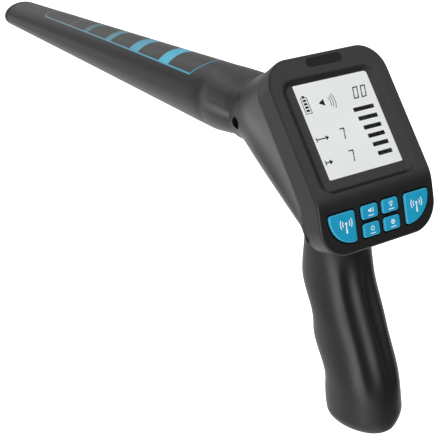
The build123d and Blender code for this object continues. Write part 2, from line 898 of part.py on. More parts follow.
def make_battery_holder():
    holder = slab(battery, SlotOverall(holder_width, holder_depth), -holder_half, holder_half)
    room = cell_length / 2 + cell_clearance
    for hand in (-1, 1):
        bore = Pos(hand * cell_spread, 0) * Circle(cell_radius + cell_clearance)
        holder -= slab(battery, bore, -room, room)
    mouth = Pos(0, -holder_open - holder_depth / 2) * Rectangle(holder_width, holder_depth)
    return holder - slab(battery, mouth, -room, room)


def make_battery_leads():
    leads = []
    landing = display_centre + face_up * (board_low + battery_lead_landing) + face_out * board_back
    top = battery_middle + battery_along * holder_half
    for hand in (-1, 1):
        shift = right * (hand * battery_lead_spread)
        points = [
            top + shift,
            top + shift + battery_along * battery_lead_rise,
            landing + shift - face_out * battery_lead_drop,
            landing + shift,
        ]
        leads.append(tube_along(points, battery_lead_bends, battery_lead_radius))
    return Compound(children=leads)


def socket_bar(radius, low, high):
    return bar_x(radius, low, high, socket_forward, wand_height - socket_drop)


def make_charging_socket():
    back = -socket_mouth + socket_length
    body = socket_bar(socket_radius, -socket_mouth, back)
    body -= socket_bar(socket_bore_radius, -socket_mouth - over, back - socket_back_wall)
    chamber_start = -socket_mouth + socket_bore_length
    return body - socket_bar(socket_chamber_radius, chamber_start, back - socket_back_wall)


def make_charging_pin():
    floor = -socket_mouth + socket_length - socket_back_wall
    return socket_bar(pin_radius, floor - pin_length, floor)


os.makedirs("parts", exist_ok=True)
left_half, right_half = make_halves()
nodes = {
    "face_cover": make_face_cover(),
    "badge_plate": make_badge_plate(),
    "display_window": make_display_window(),
    "display_gasket": make_display_gasket(),
    "lcd_panel": display_layer(lcd_back, gasket_back),
    "backlight_plate": display_layer(backlight_back, lcd_back),
    "main_board": make_main_board(),
    "board_parts": make_board_parts(),
    "board_screws": make_board_screws(),
    "buzzer": make_buzzer(),
    "key_mat": make_key_mat(),
    "key_board": make_key_board(),
    "key_board_screws": make_key_screws(),
    "key_ribbon": make_ribbon(),
    "housing_left": left_half,
    "housing_right": right_half,
    "housing_screws": make_housing_screws(),
    "wand_tube": make_wand_tube(),
    "wand_end_cap": make_wand_end_cap(),
    "wand_seal": make_wand_seal(),
    "ferrite_rod": make_ferrite_rod(),
    "front_bobbin": make_bobbin(bobbin_fronts[0]),
    "rear_bobbin": make_bobbin(bobbin_fronts[1]),
    "front_winding": make_winding(bobbin_fronts[0]),
    "rear_winding": make_winding(bobbin_fronts[1]),
    "rod_spacers": make_spacers(),
    "antenna_lead": make_antenna_lead(),
    "battery_cells": make_battery_cells(),
    "battery_holder": make_battery_holder(),
    "battery_leads": make_battery_leads(),
    "charging_socket": make_charging_socket(),
    "charging_pin": make_charging_pin(),
}
for name, outline, centre in buttons:
    nodes[name] = make_button(outline, centre)
for name, shape in nodes.items():
    export_step(shape, f"parts/{name}.step")
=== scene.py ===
import json
import bpy
import bmesh
import numpy as np
from mathutils import Matrix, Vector
from mathutils.geometry import convex_hull_2d

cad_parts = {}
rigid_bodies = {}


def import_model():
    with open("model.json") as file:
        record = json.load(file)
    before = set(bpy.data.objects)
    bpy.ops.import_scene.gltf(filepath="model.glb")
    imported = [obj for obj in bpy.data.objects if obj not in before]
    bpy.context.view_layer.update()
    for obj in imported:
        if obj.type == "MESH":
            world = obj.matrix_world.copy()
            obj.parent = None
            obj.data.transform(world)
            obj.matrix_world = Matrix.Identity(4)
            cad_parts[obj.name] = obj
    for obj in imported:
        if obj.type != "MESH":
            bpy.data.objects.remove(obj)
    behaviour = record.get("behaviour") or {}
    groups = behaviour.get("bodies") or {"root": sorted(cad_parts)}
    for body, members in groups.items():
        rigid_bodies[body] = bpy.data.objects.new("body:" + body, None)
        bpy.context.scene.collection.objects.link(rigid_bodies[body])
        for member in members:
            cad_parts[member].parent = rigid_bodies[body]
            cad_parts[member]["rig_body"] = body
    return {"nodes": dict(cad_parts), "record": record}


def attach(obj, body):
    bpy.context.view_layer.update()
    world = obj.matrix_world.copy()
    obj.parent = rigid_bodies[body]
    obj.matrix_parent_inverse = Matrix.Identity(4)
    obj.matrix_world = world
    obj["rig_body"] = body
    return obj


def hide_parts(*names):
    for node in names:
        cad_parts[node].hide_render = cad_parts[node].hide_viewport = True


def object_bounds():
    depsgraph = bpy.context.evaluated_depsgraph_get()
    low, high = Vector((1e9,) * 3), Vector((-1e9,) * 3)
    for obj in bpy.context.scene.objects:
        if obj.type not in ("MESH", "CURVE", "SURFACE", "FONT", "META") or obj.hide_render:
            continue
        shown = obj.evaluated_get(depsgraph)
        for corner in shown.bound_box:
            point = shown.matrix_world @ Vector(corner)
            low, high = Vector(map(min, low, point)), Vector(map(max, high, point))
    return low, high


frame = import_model()
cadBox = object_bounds()
cad = frame["nodes"]
slotOf = {row["node"]: row["material_slot"] for row in frame["record"]["subparts"]}
mm = 0.001
print("frame loaded:", len(cad), "nodes")

# directions of the display face and of the keypad, which leans back below it
faceAngle, keyAngle = np.radians(53.0), np.radians(23.5)
across = np.array([1.0, 0.0, 0.0])
faceUp = np.array([0.0, np.cos(faceAngle), np.sin(faceAngle)])
faceOut = np.array([0.0, -np.sin(faceAngle), np.cos(faceAngle)])
keyUp = faceUp * np.cos(keyAngle) + faceOut * np.sin(keyAngle)
keyOut = faceOut * np.cos(keyAngle) - faceUp * np.sin(keyAngle)
faceCentre = np.array([0.0, 7.0, 128.2])
faceLevel, keyDrop = 1.6, 41.7   # height of the face's surface, and where the keypad starts
keyTop = faceCentre - faceUp * keyDrop + faceOut * faceLevel
wandZ = 115.0


# finishes

def newFinish(name):
    finish = bpy.data.materials.new(name)
    finish.use_nodes = True
    return finish, finish.node_tree, finish.node_tree.nodes["Principled BSDF"]


def noiseNode(tree, scale, detail=3.0, stretch=(1, 1, 1)):
    # object coordinates, so the grain keeps its real size and its place
    place = tree.nodes.new("ShaderNodeTexCoord")
    mapping = tree.nodes.new("ShaderNodeMapping")
    mapping.inputs["Scale"].default_value = stretch
    noise = tree.nodes.new("ShaderNodeTexNoise")
    noise.inputs["Scale"].default_value = scale
    noise.inputs["Detail"].default_value = detail
    tree.links.new(place.outputs["Object"], mapping.inputs["Vector"])
    tree.links.new(mapping.outputs["Vector"], noise.inputs["Vector"])
    return noise.outputs["Fac"]


def tintRamp(tree, factor, dark, light):
    ramp = tree.nodes.new("ShaderNodeValToRGB")
    ramp.color_ramp.elements[0].position = 0.32
    ramp.color_ramp.elements[1].position = 0.68
    ramp.color_ramp.elements[0].color = (*dark, 1)
    ramp.color_ramp.elements[1].color = (*light, 1)
    tree.links.new(factor, ramp.inputs["Fac"])
    return ramp.outputs["Color"]


def mapRange(tree, value, span, levels, kind="LINEAR"):
    node = tree.nodes.new("ShaderNodeMapRange")
    node.interpolation_type = kind
    for socket, number in zip(("From Min", "From Max", "To Min", "To Max"), (*span, *levels)):
        node.inputs[socket].default_value = number
    tree.links.new(value, node.inputs["Value"])
    return node.outputs["Result"]


def shareOf(tree, vector, way):
    # share of a direction that goes a given way
    share = tree.nodes.new("ShaderNodeVectorMath")
    share.operation = "DOT_PRODUCT"
    share.inputs[1].default_value = way
    tree.links.new(vector, share.inputs[0])
    return share.outputs["Value"]


def spreadGloss(tree, shader, factor, low, high):
    tree.links.new(mapRange(tree, factor, (0.3, 0.7), (low, high)), shader.inputs["Roughness"])


def fineGrain(tree, shader, grain, rough, height, stretch=(1, 1, 1)):
    # fine surface grain in roughness and bump
    fine = noiseNode(tree, grain, 3.0, stretch)
    spreadGloss(tree, shader, fine, rough - 0.05, rough + 0.05)
    bump = tree.nodes.new("ShaderNodeBump")
    bump.inputs["Strength"].default_value = 0.6
    bump.inputs["Distance"].default_value = height
    tree.links.new(fine, bump.inputs["Height"])
    tree.links.new(bump.outputs["Normal"], shader.inputs["Normal"])


def moulded(name, colour, rough, grain=2600.0, height=0.00004, mottle=0.06, metal=0.0,
            stretch=(1, 1, 1), gloss=0.5):
    # moulded or drawn material: slow colour cloud and fine grain
    finish, tree, shader = newFinish(name)
    colour = np.array(colour)
    slow = noiseNode(tree, 24.0, 2.0)
    tint = tintRamp(tree, slow, colour * (1 - mottle), np.minimum(colour * (1 + mottle), 1))
    tree.links.new(tint, shader.inputs["Base Color"])
    fineGrain(tree, shader, grain, rough, height, stretch)
    shader.inputs["Metallic"].default_value = metal
    shader.inputs["Specular IOR Level"].default_value = gloss
    return finish


def keyBlue(name, colour, edge):
    # blue key rubber with a painted highlight: paler where the surface turns away from the key's flat top
    finish, tree, shader = newFinish(name)
    colour = np.array(colour)
    normal = tree.nodes.new("ShaderNodeNewGeometry").outputs["Normal"]
    highlightShare = mapRange(tree, shareOf(tree, normal, keyOut), (0.35, 0.96), (1.0, 0.0))
    cloud = tintRamp(tree, noiseNode(tree, 60.0), colour * 0.94, colour * 1.06)
    mix = tree.nodes.new("ShaderNodeMix")
    mix.data_type = "RGBA"
    # the second tint is the painted highlight on the keys' turned edges
    mix.inputs["B"].default_value = (*edge, 1)
    tree.links.new(highlightShare, mix.inputs["Factor"])
    tree.links.new(cloud, mix.inputs["A"])
    tree.links.new(mix.outputs["Result"], shader.inputs["Base Color"])
    fineGrain(tree, shader, 3500.0, 0.47, 0.00002)
    return finish


def fadingPrint(name, tints):
    # printed ink that changes along the wand: tints at places along its length, in metres
    finish, tree, shader = newFinish(name)
    place = tree.nodes.new("ShaderNodeTexCoord")
    split = tree.nodes.new("ShaderNodeSeparateXYZ")
    ramp = tree.nodes.new("ShaderNodeValToRGB")
    while len(ramp.color_ramp.elements) < len(tints):
        ramp.color_ramp.elements.new(0.5)
    for stop, (at, colour) in zip(ramp.color_ramp.elements, tints):
        stop.position = at
        stop.color = (*colour, 1)
    tree.links.new(place.outputs["Object"], split.inputs["Vector"])
    tree.links.new(split.outputs["Y"], ramp.inputs["Fac"])
    tree.links.new(ramp.outputs["Color"], shader.inputs["Base Color"])
    fineGrain(tree, shader, 3200.0, 0.42, 0.00002)
    return finish


def litDisplay(name):
    # pale display that glows as if lit from behind: the glow is painted light, standing in for the lamps'
    # light that the clear pane keeps off it, with a slow unevenness in it
    finish, tree, shader = newFinish(name)
    glow = tintRamp(tree, noiseNode(tree, 14.0, 1.0), (0.70, 0.71, 0.71), (0.76, 0.77, 0.77))
    # painted glow in place of the lamps' light on the panel
    tree.links.new(glow, shader.inputs["Emission Color"])
    shader.inputs["Emission Strength"].default_value = 0.98
    shader.inputs["Base Color"].default_value = (0.05, 0.05, 0.05, 1)
    spreadGloss(tree, shader, noiseNode(tree, 900.0), 0.45, 0.55)
    return finish


def clearPane(name):
    # clear hard-coated plastic with faint wipe marks in its gloss
    finish, tree, shader = newFinish(name)
    shader.inputs["Base Color"].default_value = (0.97, 0.98, 0.98, 1)
    shader.inputs["Transmission Weight"].default_value = 1.0
    shader.inputs["IOR"].default_value = 1.12
    spreadGloss(tree, shader, noiseNode(tree, 45.0, 4.0, (1, 0.2, 1)), 0.01, 0.04)
    return finish


finishes = {
    "shell": moulded("shellPlastic", (0.007, 0.007, 0.0073), 0.42, height=0.00005),
    "wand": moulded("wandPlastic", (0.009, 0.009, 0.0093), 0.42, grain=3200.0, height=0.00003, gloss=0.42),
    "rubber": moulded("sealRubber", (0.022, 0.022, 0.023), 0.75, grain=1500.0),
    "badge": moulded("badgeGloss", (0.004, 0.004, 0.0045), 0.30, grain=900.0, height=0.000004, gloss=0.15),
    "window": clearPane("windowClear"),
    "lcd": litDisplay("displayLit"),
    "white_plastic": moulded("whitePlastic", (0.80, 0.80, 0.78), 0.5),
    "circuit_board": moulded("boardGreen", (0.03, 0.20, 0.08), 0.38, grain=700.0),
    "black_parts": moulded("blackPlastic", (0.018, 0.018, 0.019), 0.46),
    "ribbon": moulded("ribbonFilm", (0.62, 0.36, 0.08), 0.32, grain=900.0),
    "ferrite": moulded("ferriteGrey", (0.09, 0.09, 0.095), 0.55, grain=1800.0, height=0.00008),
    "copper": moulded("copperWire", (0.72, 0.30, 0.13), 0.30, height=0.00012, metal=1.0,
                      stretch=(0.05, 1, 0.05)),
    "foam": moulded("foamGrey", (0.16, 0.16, 0.165), 0.9, grain=1200.0, height=0.0003),
    "lead": moulded("leadRed", (0.32, 0.02, 0.02), 0.45),
    "cell_wrap": moulded("cellWrap", (0.05, 0.24, 0.11), 0.3, grain=600.0, height=0.00001),
    "brass": moulded("pinBrass", (0.78, 0.60, 0.30), 0.25, metal=1.0),
    "screw_steel": moulded("screwSteel", (0.55, 0.55, 0.57), 0.32, grain=1800.0, metal=1.0),
    # keys: deep blue, and a paler blue as the painted highlight on their edges
    "button_blue": keyBlue("keyBlue", (0.002, 0.29, 0.49), (0.06, 0.52, 0.74)),
    # painted shade for the gaps round the keys: near black, with hardly any gloss
    "paintedGapShade": moulded("paintedGapShade", (0.002, 0.003, 0.004), 0.6, grain=900.0, height=0.00001, gloss=0.05),
    "markWhite": moulded("markWhite", (0.80, 0.84, 0.86), 0.5, grain=3000.0, height=0.00001, mottle=0.03),
    "segmentBlack": moulded("segmentBlack", (0.006, 0.006, 0.007), 0.5, grain=1500.0, height=0.00001,
                            gloss=0.05),
    "printDark": moulded("printDark", (0.012, 0.011, 0.011), 0.42, grain=3200.0, height=0.00002),
    "stripeBlue": fadingPrint("stripeBlue", (
        (0.19, (0.05, 0.50, 0.72)), (0.23, (0.06, 0.38, 0.54)), (0.27, (0.07, 0.27, 0.36)),
        (0.31, (0.06, 0.16, 0.21)), (0.335, (0.03, 0.05, 0.06)))),
    "lineBlue": fadingPrint("lineBlue", (
        (0.15, (0.05, 0.38, 0.56)), (0.25, (0.08, 0.34, 0.48)), (0.38, (0.22, 0.30, 0.34)))),
}
print("finishes made:", len(finishes))


# mesh helpers

def gridQuads(rows, cols, wrap=False, first=0):
    # four-sided faces of a grid of points, joined round its columns when wrap is set
    index = first + np.arange(rows * cols).reshape(rows, cols)
    if wrap:
        index = np.concatenate([index, index[:, :1]], axis=1)
    corners = [index[:-1, :-1], index[:-1, 1:], index[1:, 1:], index[1:, :-1]]
    return np.stack(corners, axis=-1).reshape(-1, 4)


def splineThrough(knots, values, at):
    # natural cubic spline: second slopes from one banded system, then a cubic on each span
    knots, values = np.asarray(knots, float), np.asarray(values, float)
    step = np.diff(knots)
    inner = np.arange(1, len(knots) - 1)
    system, target = np.eye(len(knots)), np.zeros(len(knots))
    system[inner, inner - 1] = step[:-1]
    system[inner, inner] = 2 * (step[:-1] + step[1:])
    system[inner, inner + 1] = step[1:]
    target[inner] = 6 * np.diff(np.diff(values) / step)
    bend = np.linalg.solve(system, target)
    span = np.clip(np.searchsorted(knots, at) - 1, 0, len(knots) - 2)
    h, a, b = step[span], knots[span + 1] - at, at - knots[span]
    curve = (bend[span] * a ** 3 + bend[span + 1] * b ** 3) / (6 * h)
    fromLeft = (values[span] / h - bend[span] * h / 6) * a
    fromRight = (values[span + 1] / h - bend[span + 1] * h / 6) * b
    return curve + fromLeft + fromRight


def newPiece(name, points, faces):
    mesh = bpy.data.meshes.new(name)
    mesh.from_pydata((np.asarray(points).reshape(-1, 3) * mm).tolist(), [], [list(face) for face in faces])
    work = bmesh.new()
    work.from_mesh(mesh)
    bmesh.ops.remove_doubles(work, verts=work.verts, dist=2e-7)
    bmesh.ops.recalc_face_normals(work, faces=work.faces)
    work.to_mesh(mesh)
    work.free()
    piece = bpy.data.objects.new(name, mesh)
    bpy.context.scene.collection.objects.link(piece)
    return piece


def solidFromRings(name, rings):
    # closed solid: rings joined by quads, with a flat face over the first and the last
    rows, cols = rings.shape[:2]
    quads = gridQuads(rows, cols, wrap=True).tolist()
    return newPiece(name, rings, quads + [range(cols), range((rows - 1) * cols, rows * cols)])


def prismAcross(name, outline, low, high):
    # side outline of (forward, height) points, carried across the object
    outline = np.asarray(outline, float)
    ends = [np.column_stack([np.full(len(outline), x), outline]) for x in (low, high)]
    return solidFromRings(name, np.stack(ends))


def barAcross(name, low, high, radius, forward, height, sides=40):
    turn = np.linspace(0, 2 * np.pi, sides, endpoint=False)
    ring = np.column_stack([forward + radius * np.cos(turn), height + radius * np.sin(turn)])
    return prismAcross(name, ring, low, high)


def carve(piece, tool, how):
    # one closed solid cut from, joined to or kept inside another
    step = piece.modifiers.new("carve", "BOOLEAN")
    step.operation = how
    step.solver = "MANIFOLD"
    step.object = tool
    bpy.context.view_layer.update()
    result = bpy.data.meshes.new_from_object(piece.evaluated_get(bpy.context.evaluated_depsgraph_get()))
    piece.modifiers.clear()
    piece.data = result
    bpy.data.objects.remove(tool)
    return piece


def dress(piece, finish, body, sharp=30.0, weighted=True):
    mesh = piece.data
    mesh.materials.clear()
    mesh.materials.append(finish)
    mesh.polygons.foreach_set("material_index", np.zeros(len(mesh.polygons), np.int32))
    mesh.shade_smooth()
    mesh.set_sharp_from_angle(angle=np.radians(sharp))
    if weighted:
        even = piece.modifiers.new("even", "WEIGHTED_NORMAL")
        even.keep_sharp = True
        even.weight = 80
    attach(piece, body)


def smoothNode(node, name, pocket=None):
    # merged copy of a node, shaded smooth, that stands for it
    # a pocket is cut from it where a new piece sits
    mesh = cad[node].data.copy()
    if "custom_normal" in mesh.attributes:
        mesh.attributes.remove(mesh.attributes["custom_normal"])
    work = bmesh.new()
    work.from_mesh(mesh)
    bmesh.ops.remove_doubles(work, verts=work.verts, dist=1e-6)
    work.to_mesh(mesh)
    work.free()
    piece = bpy.data.objects.new(name, mesh)
    bpy.context.scene.collection.objects.link(piece)
    if pocket is not None:
        carve(piece, solidFromRings("pocket", pocket), "DIFFERENCE")
    dress(piece, finishes[slotOf[node]], cad[node]["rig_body"])
    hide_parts(node)


# wand: a tapering tube whose root turns square and draws in towards the neck

wandShape = {
    "backY": 84.0, "neckY": 98.0, "collarY": 131.0, "endY": 440.6, "capY": 441.0, "tipY": 447.0,
    "rootWide": 22.8, "rootHigh": 22.3, "tipWide": 17.15, "tipHigh": 9.95, "wall": 2.2, "sides": 144,
    # fuller above at the tip, and below at the root and the tip
    "fullTop": 0.9, "fullLow": (0.85, 0.4),
    # behind a shallow dip the root widens and turns square, above and below
    "dip": 1.1, "dipRun": 6.0, "flare": 2.9, "flarePower": 0.8, "squarePower": 2.75, "lowPower": 3.2,
    # its top comes down a little, and it draws in below a soft ledge
    "drawTop": 1.6, "ledge": 2.6, "ledgeSpan": (-0.20, 0.16), "drawBelow": 6.8,
    # end cap, and the seal in the neck's mouth
    "capRound": 2.2, "capEdge": 0.3, "capFace": (0.85, 0.6, 0.3, 0.05), "plugY": 434.0, "fit": 0.25,
    "sealBack": 84.6, "sealFront": 88.8, "sealFit": (0.03, 0.04), "mouthGap": 0.7,
}


def wandShare(y):
    # share of the way from the collar to the tip
    return np.clip((y - wandShape["collarY"]) / (wandShape["tipY"] - wandShape["collarY"]), 0, 1)


def wandWide(y):
    return wandShape["rootWide"] + (wandShape["tipWide"] - wandShape["rootWide"]) * wandShare(y)


def wandPoint(y, turn, lift):
    # half ellipses above and below that shrink along Y; towards the root each turns into a superellipse
    # of its own power, its sides flare and the lower half draws in; lift is along the section's normal
    s = wandShape
    q = wandShare(y)
    near = np.clip((s["collarY"] - y) / (s["collarY"] - s["neckY"]), 0, 1)
    upper = np.cos(turn) > 0
    power = 2 + (np.where(upper, s["squarePower"], s["lowPower"]) - 2) * near
    swell = (np.abs(np.sin(turn)) ** power + np.abs(np.cos(turn)) ** power) ** (-1 / power)
    first, last = s["ledgeSpan"]
    under = np.clip((-np.cos(turn) - first) / (last - first), 0, 1)
    ledge = s["ledge"] * near * under * under * (3 - 2 * under)
    bowl = np.exp(-((y - s["collarY"]) / s["dipRun"]) ** 2)
    bowl = np.where(y > s["collarY"], bowl, under + (1 - under) * bowl)
    dip = s["dip"] * bowl * np.abs(np.sin(turn)) ** 3
    high = s["rootHigh"] + (s["tipHigh"] - s["rootHigh"]) * q
    above = high + s["fullTop"] * q - s["drawTop"] * near ** 2
    below = high + s["fullLow"][0] + (s["fullLow"][1] - s["fullLow"][0]) * q - s["drawBelow"] * near
    wide = (wandWide(y) - dip - ledge + s["flare"] * near ** s["flarePower"]) * swell
    high = np.where(upper, above, below) * swell
    normal = np.stack([np.sin(turn) / wide, np.cos(turn) / high])
    normal = normal / np.linalg.norm(normal, axis=0)
    x = wide * np.sin(turn) + lift * normal[0]
    z = wandZ + high * np.cos(turn) + lift * normal[1]
    return np.stack([x, np.broadcast_to(y, np.shape(x)), z], axis=-1)


def tubeFromRings(name, outer, inner):
    # open tube with a wall: outer rings forward, inner rings back, and a band across each end
    rings = np.concatenate([outer, inner[::-1]])
    rows, cols = rings.shape[:2]
    close = np.column_stack([np.arange(cols), np.roll(np.arange(cols), -1)])
    ends = np.column_stack([close, close[:, ::-1] + (rows - 1) * cols])
    return newPiece(name, rings, gridQuads(rows, cols, wrap=True).tolist() + ends.tolist())


def aroundWand(y, sides):
    return np.meshgrid(y, np.linspace(0, 2 * np.pi, sides, endpoint=False), indexing="ij")


def makeWand():
    s = wandShape
    y = np.concatenate([np.linspace(s["backY"], s["collarY"], 46, endpoint=False),
                        np.linspace(s["collarY"], s["endY"], 100)])
    along, around = aroundWand(y, s["sides"])
    outer, inner = wandPoint(along, around, 0.0), wandPoint(along, around, -s["wall"])
    piece = tubeFromRings("wandTube", outer, inner)
    dress(piece, finishes["wand"], "body", 28.0, weighted=False)
    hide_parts("wand_tube")


def makeEndCap():
    # plug inside the tube, a fine groove, a rounded rim and a flat end closed towards its middle
    s = wandShape
    roll = np.radians(np.linspace(0, 90, 9))
    rim = s["tipY"] - s["capRound"] * (1 - np.sin(roll))
    y = np.concatenate([[s["plugY"], s["capY"], s["capY"], s["capY"] + s["capEdge"]], rim])
    plug = -s["wall"] - s["fit"]
    lift = np.concatenate([[plug, plug, -s["capEdge"], 0.0], s["capRound"] * (np.cos(roll) - 1)])
    along, around = aroundWand(y, s["sides"])
    rings = wandPoint(along, around, lift[:, None])
    middle = np.array([0, s["tipY"], wandZ])
    face = middle + np.array(s["capFace"])[:, None, None] * (rings[-1] - middle)
    piece = solidFromRings("wandEndCap", np.concatenate([rings, face]))
    dress(piece, finishes["wand"], "body", 50.0, weighted=False)
    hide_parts("wand_end_cap")


def makeWandSeal():
    s = wandShape
    along, around = aroundWand(np.linspace(s["sealBack"], s["sealFront"], 4), 96)
    outer = wandPoint(along, around, s["mouthGap"] - s["sealFit"][1])
    piece = tubeFromRings("wandSeal", outer, wandPoint(along, around, s["sealFit"][0]))
    dress(piece, finishes["rubber"], "body", weighted=False)
    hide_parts("wand_seal")


makeWand()
makeEndCap()
makeWandSeal()
print("wand made")


# housing halves: a funnel from the head to the neck, and the grip

funnelShape = {
    # each outline: top, bottom, half width, low half width, corner, low corner
    "root": (45.7, -80.1, 44.4, 45.1, 17.8, 18.7), "rootDepth": 13.1,
    "waist": (31.5, -31.3, 30.7, 29.6, 18.7, 23.6),
    "waistPlace": (66.6, 113.5), "waistLean": 19.8, "waistShare": 0.665,
    # the rim stands forward at its sides and runs straight at its end
    "rimY": 90.0, "rimReach": 0.2, "rimRun": 3.0,
    "rimSide": 27.3, "rimTop": 24.8, "rimBottom": 20.9, "rimPower": 4.1,
    # the wall flares out to meet the keypad's deeper back edge
    "flareFrom": 38.6, "flareSlope": 0.36, "flareRun": 8.0, "flareWide": 40.0,
    # seam with the face cover, and how far the cut along it runs past the object
    "seamDepth": 14.75, "bendRound": 9.3,
    "cutTop": 140.0, "cutRun": 120.0, "cutOut": (-60.0, 190.0), "cutHalf": 90.0, "overrun": 6.0,
    # the halves meet at a tongue and groove
    "wall": 2.4, "parting": 0.03, "tongue": 0.8, "tongueInset": 1.2, "tongueFit": 0.1, "halfWide": 44.4,
}


def halfOutline(top, bottom, half, lowHalf, corner, lowCorner):
    # left half of a four-sided outline: top middle, round corner, side, round corner, bottom middle
    marks = np.array([[0, top], [-half, top], [-lowHalf, bottom], [0, bottom]], float)
    runs, start = [], marks[0]
    for mark, radius, count, arcCount in ((1, corner, 10, 16), (2, lowCorner, 26, 20)):
        toBack = (marks[mark - 1] - marks[mark]) / np.linalg.norm(marks[mark - 1] - marks[mark])
        toNext = (marks[mark + 1] - marks[mark]) / np.linalg.norm(marks[mark + 1] - marks[mark])
        opening = np.arccos(toBack @ toNext) / 2
        reach = radius / np.tan(opening)
        halfway = (toBack + toNext) / np.linalg.norm(toBack + toNext)
        middle = marks[mark] + halfway * radius / np.sin(opening)
        first, last = marks[mark] + toBack * reach - middle, marks[mark] + toNext * reach - middle
        runs.append(start + np.linspace(0, 1, count, endpoint=False)[:, None] * (middle + first - start))
        sweep, t = np.pi - 2 * opening, np.linspace(0, 1, arcCount, endpoint=False)[:, None]
        runs.append(middle + (np.sin((1 - t) * sweep) * first + np.sin(t * sweep) * last) / np.sin(sweep))
        start = middle + last
    runs.append(start + np.linspace(0, 1, 14)[:, None] * (marks[3] - start))
    return np.concatenate(runs)


def rimHalf(inset, mouth, setBack):
    # left half of the neck's rim, its arcs shared out as the outlines' sides and corners are
    s = funnelShape
    spans = ((90, 125, 10), (125, 145, 16), (145, 215, 26), (215, 235, 20))
    arcs = [np.linspace(a, b, n, endpoint=False) for a, b, n in spans]
    turn = np.radians(np.concatenate([*arcs, np.linspace(235, 270, 14)]))
    forward = s["rimY"] + s["rimReach"] * np.cos(turn) ** 2 - setBack
    if mouth:   # the opening follows the wand's root
        return wandPoint(forward, np.pi / 2 - turn, wandShape["mouthGap"])
    end = np.where(np.sin(turn) > 0, s["rimTop"], s["rimBottom"])
    side = np.abs(np.cos(turn)) ** np.where(np.sin(turn) > 0, 2.0, s["rimPower"])
    radius = s["rimSide"] * side + end * (1 - side) - inset
    return np.column_stack([radius * np.cos(turn), forward, wandZ + radius * np.sin(turn)])


def funnelRings(inset, extend, mouth=False):
    # three outlines joined by a parabola along the funnel, a flare along the keypad's back edge,
    # and a short straight rim
    s = funnelShape
    shrink = np.array([1, -1, 1, 1, 0.5, 0.5]) * inset
    root, waist = (halfOutline(*(np.array(s[key]) - shrink)) for key in ("root", "waist"))
    lean = np.radians(s["waistLean"])
    waistUp = np.array([0, np.sin(lean), np.cos(lean)])
    rootAt = faceCentre - faceOut * s["rootDepth"]
    sections = [
        rootAt + root[:, :1] * across + root[:, 1:] * faceUp,
        np.array([0, *s["waistPlace"]]) + waist[:, :1] * across + waist[:, 1:] * waistUp,
        rimHalf(inset, mouth, s["rimRun"]),
    ]
    v = np.linspace(0, 1, 44)[:, None, None]
    mid = s["waistShare"]
    rows = (sections[0] * (v - mid) * (v - 1) / mid + sections[1] * v * (v - 1) / (mid * (mid - 1))
            + sections[2] * v * (v - mid) / (1 - mid))
    up, out = (rows - faceCentre) @ faceUp, (rows - faceCentre) @ faceOut
    drop = np.clip(-s["flareFrom"] - up, 0, None) * np.tan(keyAngle)
    behind = np.clip((faceLevel - s["seamDepth"] - drop - out) / s["flareRun"], 0, 1)
    fade = 1 - behind * behind * (3 - 2 * behind)
    rows[..., 0] -= s["flareSlope"] * drop * fade * np.clip(-rows[..., 0] / s["flareWide"], 0, 1) ** 4
    rims = [rimHalf(inset, mouth, setBack)[None] for setBack in (s["rimRun"] / 2, 0.0)]
    rows = np.concatenate([rows, *rims])
    rows[..., 0] = np.clip(rows[..., 0], inset - s["halfWide"], s["halfWide"] - inset)
    if extend:   # run past both ends, so that a cut with it opens them
        ahead = np.array([0, s["overrun"], 0])
        rows = np.concatenate([rows[:1] + faceOut * s["overrun"], rows, rows[-1:] + ahead])
    mirrored = rows[:, -2:0:-1] * np.array([-1, 1, 1])
    return np.concatenate([rows, mirrored], axis=1)


gripShape = {
    "wall": 2.4, "length": 165.0, "topZ": 100.0, "footFront": -63.9, "footBack": -63.6,
    # foot: rounded from side to side, firmer at front and heel
    "roundAcross": 12.5, "roundAlong": 3.4,
    "frontZ": (-75, -60, -49, -39, -29, -17, -6, 2, 10, 20, 30, 42, 60, 86, 100),
    "frontY": (-4.9, 2.5, 6.3, 7.6, 7.8, 14.4, 20.2, 20.5, 22.1, 27.5, 31.7, 31.1, 28.6, 28.3, 28.3),
    "backZ": (-90, -70, -60, -50, -40, -31, -20, -5, 10, 29, 38, 45, 60, 86, 100),
    "backY": (-31.2, -35.5, -38.0, -37.6, -36.0, -33.6, -29.6, -23.1, -15.8, -8.2, -5.5, -3.5, -1.5,
              -0.9, -0.9),
    "wideAt": (0, 0.6, 1), "halfWide": (22.2, 23.0, 23.8), "frontPower": 2.3, "backPower": 2.2,
    # two flutes along the grip's lean, faded out at their ends
    "lean": 21.0, "fluteX": 6.8, "fluteHalf": 6.8, "fluteDepth": 2.3,
    "fluteMiddle": (-18.9, 4.8), "fluteReach": 45.0, "fluteFade": (4.0, 1.3), "fluteBack": (2.2, 0.3),
}


